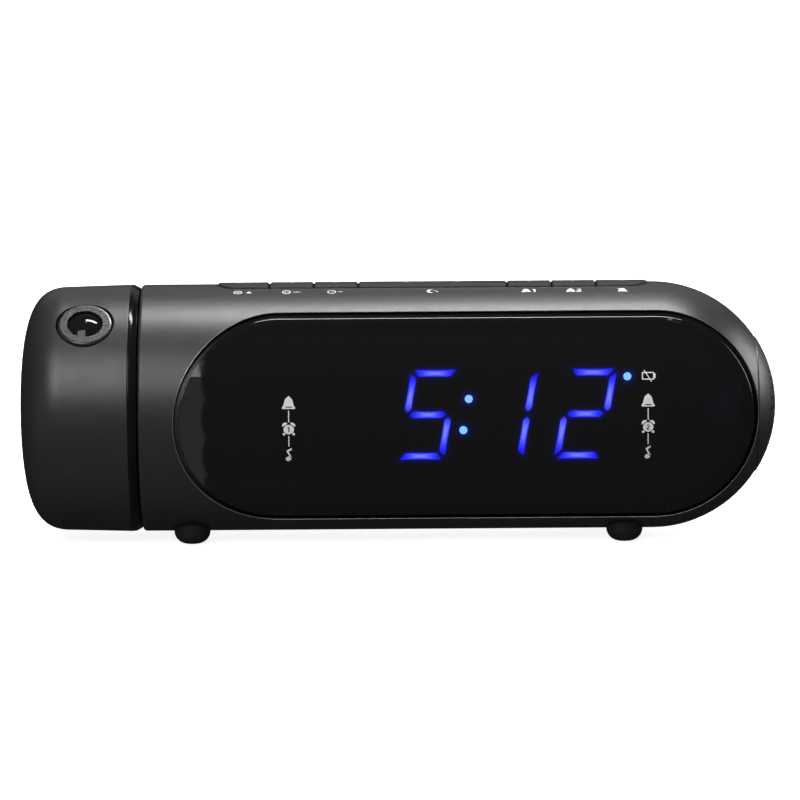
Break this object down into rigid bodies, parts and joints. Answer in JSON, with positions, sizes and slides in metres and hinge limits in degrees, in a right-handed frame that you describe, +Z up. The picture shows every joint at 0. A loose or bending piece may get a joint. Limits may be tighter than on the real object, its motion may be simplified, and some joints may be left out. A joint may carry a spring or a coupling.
{
  "type": "projection alarm clock",
  "caption": "Capsule-shaped clock radio with a digital display, a strip of keys on top and a turning projector drum at one end.",
  "frame": {"origin": "on the surface the feet stand on, under the middle of the clock's length and depth", "axes": "+X along the clock to the speaker end, the projector drum at -X; -Y to the front, where the display is; +Z up"},
  "size_m": [0.192, 0.0628, 0.0652],
  "materials": {
    "satin_shell": "satin, fine grain",
    "key_satin": "satin",
    "ring_satin": "satin",
    "gloss_black": "glossy",
    "smoked_window": "glossy smoked",
    "adhesive": "matte",
    "display_block": "matte",
    "led_blue": "lit blue",
    "led_off": "unlit, milky",
    "led_dot": "lit light blue",
    "foot_rubber": "matte rubber",
    "circuit_board": "solder mask",
    "chip_black": "moulded",
    "jack_black": "moulded",
    "contact_metal": "plated",
    "cell_steel": "satin",
    "screw_steel": "blackened",
    "wheel_black": "satin",
    "inner_plastic": "matte",
    "felt": "felt",
    "optical_glass": "polished, coated",
    "clear_plastic": "polished",
    "lcd_glass": "polished",
    "speaker_steel": "painted",
    "magnet": "ferrite",
    "cone_paper": "pressed paper",
    "lead_black": "insulation"
  },
  "bodies": {
    "clock_body": {"front_housing": "satin_shell", "rear_housing": "satin_shell", "speaker_grille": "satin_shell", "display_lens": "smoked_window", "lens_adhesive": "adhesive", "display_module": "display_block", "lit_segments": "led_blue", "unlit_segments": "led_off", "indicator_dots": "led_dot", "feet": "foot_rubber", "main_board": "circuit_board", "key_board": "circuit_board", "radio_board": "circuit_board", "main_board_parts": "chip_black", "key_switches": "chip_black", "pot_bodies": "chip_black", "dc_jack": "jack_black", "dc_jack_pin": "contact_metal", "cell_contacts": "contact_metal", "coin_cell": "cell_steel", "housing_screws": "screw_steel", "main_board_screws": "screw_steel", "key_board_screws": "screw_steel", "radio_board_screws": "screw_steel", "wheel_screws": "screw_steel", "drum_bearing_plate": "inner_plastic", "speaker_frame": "speaker_steel", "speaker_magnet": "magnet", "speaker_cone": "cone_paper", "speaker_leads": "lead_black", "board_leads": "lead_black"},
    "drum": {"drum_shell": "satin_shell", "drum_collar": "gloss_black", "drum_screws": "screw_steel", "hub_retainer": "inner_plastic", "retainer_screws": "screw_steel", "friction_washer": "felt", "projector_tube": "inner_plastic", "tube_screws": "screw_steel", "projector_board": "circuit_board", "projector_board_screws": "screw_steel", "projector_led": "led_blue", "condenser_lens": "clear_plastic", "lcd_spacer": "inner_plastic", "lcd_panel": "lcd_glass", "projector_lead": "lead_black"},
    "focus_ring_body": {"focus_ring": "ring_satin"},
    "lens_barrel_body": {"lens_barrel": "ring_satin", "projector_lens": "optical_glass"},
    "volume_wheel_body": {"volume_wheel": "wheel_black"},
    "tuning_wheel_body": {"tuning_wheel": "wheel_black"},
    "battery_door_body": {"battery_door": "satin_shell", "battery_door_screw": "screw_steel"},
    "time_key_body": {"time_key": "key_satin"},
    "hour_key_body": {"hour_key": "key_satin"},
    "minute_key_body": {"minute_key": "key_satin"},
    "snooze_key_body": {"snooze_key": "key_satin"},
    "alarm_1_key_body": {"alarm_1_key": "key_satin"},
    "alarm_2_key_body": {"alarm_2_key": "key_satin"},
    "alarm_off_key_body": {"alarm_off_key": "key_satin"}
  },
  "joints": [
    {"name": "drum_turn", "type": "hinge", "parent": "clock_body", "child": "drum", "pos_m": [-0.0676, 0, 0.0334], "axis": [-1, 0, 0], "range_deg": [-51, 129]},
    {"name": "focus_turn", "type": "hinge", "parent": "drum", "child": "focus_ring_body", "pos_m": [-0.0785, -0.01888, 0.05671], "axis": [0, -0.6293, 0.7771], "range_deg": [-91, 91]},
    {"name": "focus_slide", "type": "slide", "parent": "drum", "child": "lens_barrel_body", "axis": [0, -0.6293, 0.7771], "range_m": [-0.001, 0.001]},
    {"name": "volume_turn", "type": "hinge", "parent": "clock_body", "child": "volume_wheel_body", "pos_m": [0.002, 0.0219, 0.0261], "axis": [0, 0, 1], "range_deg": [-135, 135]},
    {"name": "tuning_turn", "type": "hinge", "parent": "clock_body", "child": "tuning_wheel_body", "pos_m": [0.027, 0.0219, 0.0261], "axis": [0, 0, 1], "range_deg": [-150, 150]},
    {"name": "battery_door_lift", "type": "slide", "parent": "clock_body", "child": "battery_door_body", "axis": [0, 0.7071, -0.7071], "range_m": [0, 0.012]},
    {"name": "time_press", "type": "slide", "parent": "clock_body", "child": "time_key_body", "axis": [0, 0, -1], "range_m": [0, 0.0006], "stiffness_N_per_m": 1500, "springref_m": -0.0003},
    {"name": "hour_press", "type": "slide", "parent": "clock_body", "child": "hour_key_body", "axis": [0, 0, -1], "range_m": [0, 0.0006], "stiffness_N_per_m": 1500, "springref_m": -0.0003},
    {"name": "minute_press", "type": "slide", "parent": "clock_body", "child": "minute_key_body", "axis": [0, 0, -1], "range_m": [0, 0.0006], "stiffness_N_per_m": 1500, "springref_m": -0.0003},
    {"name": "snooze_press", "type": "slide", "parent": "clock_body", "child": "snooze_key_body", "axis": [0, 0, -1], "range_m": [0, 0.0006], "stiffness_N_per_m": 1500, "springref_m": -0.0003},
    {"name": "alarm_1_press", "type": "slide", "parent": "clock_body", "child": "alarm_1_key_body", "axis": [0, 0, -1], "range_m": [0, 0.0006], "stiffness_N_per_m": 1500, "springref_m": -0.0003},
    {"name": "alarm_2_press", "type": "slide", "parent": "clock_body", "child": "alarm_2_key_body", "axis": [0, 0, -1], "range_m": [0, 0.0006], "stiffness_N_per_m": 1500, "springref_m": -0.0003},
    {"name": "alarm_off_press", "type": "slide", "parent": "clock_body", "child": "alarm_off_key_body", "axis": [0, 0, -1], "range_m": [0, 0.0006], "stiffness_N_per_m": 1500, "springref_m": -0.0003}
  ],
  "couplings": [
    {"joint": "focus_turn", "follows": "focus_slide", "rad_per_m": 1570.8}
  ]
}
